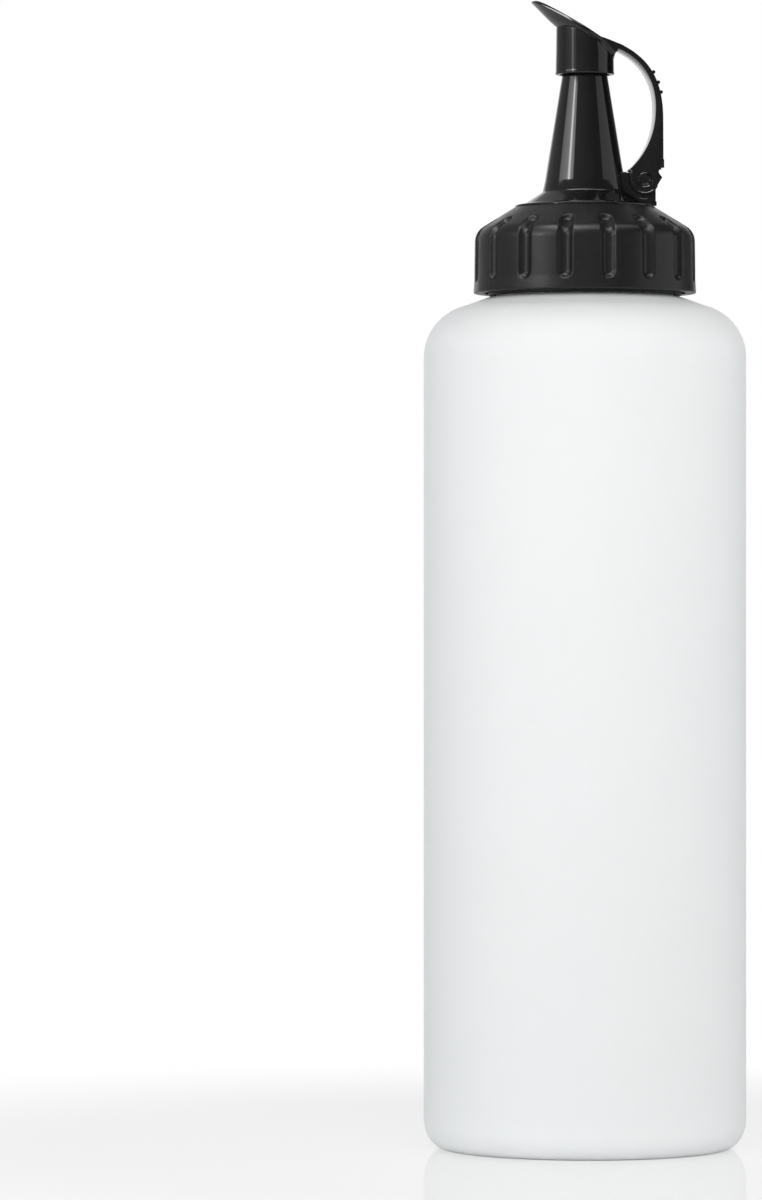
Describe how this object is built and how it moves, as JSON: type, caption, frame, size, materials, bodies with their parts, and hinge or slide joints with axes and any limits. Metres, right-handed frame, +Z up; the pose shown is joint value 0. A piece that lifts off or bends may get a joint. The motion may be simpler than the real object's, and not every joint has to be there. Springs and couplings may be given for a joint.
{
  "type": "dispensing sauce bottle with flip cap",
  "caption": "Squeezable sauce bottle with a ribbed screw collar, a tapered pouring nozzle and a hinged flip cap on a curved arm.",
  "frame": {"origin": "centre of the base, on the surface the bottle stands on", "axes": "+Z up along the bottle; +X from the nozzle towards the flip cap's hinge; +Y along the hinge pin"},
  "size_m": [0.064, 0.064, 0.2281],
  "materials": {
    "bottle_milky": "frosted, translucent",
    "seal_soft": "matte",
    "collar_black": "satin",
    "skirt_black": "satin",
    "nozzle_black": "gloss",
    "pin_black": "gloss",
    "flip_black": "gloss",
    "plug_soft": "matte"
  },
  "bodies": {
    "bottle": {"bottle": "bottle_milky"},
    "seal": {"seal_ring": "seal_soft"},
    "collar": {"collar_shell": "collar_black", "thread_skirt": "skirt_black", "nozzle": "nozzle_black", "hinge_pin": "pin_black"},
    "flip": {"flip_cap": "flip_black", "tip_seal": "plug_soft"}
  },
  "joints": [
    {"name": "cap_lift", "type": "slide", "parent": "bottle", "child": "seal", "axis": [0, 0, 1], "range_m": [0, 0.0126]},
    {"name": "cap_unscrew", "type": "hinge", "parent": "seal", "child": "collar", "pos_m": [0, 0, 0.175], "axis": [0, 0, 1], "range_deg": [0, 1080]},
    {"name": "flip", "type": "hinge", "parent": "collar", "child": "flip", "pos_m": [0.0116, 0, 0.19236], "axis": [0, 1, 0], "range_deg": [0, 95]}
  ],
  "couplings": [
    {"joint": "cap_lift", "follows": "cap_unscrew", "m_per_rad": 0.00066845}
  ]
}
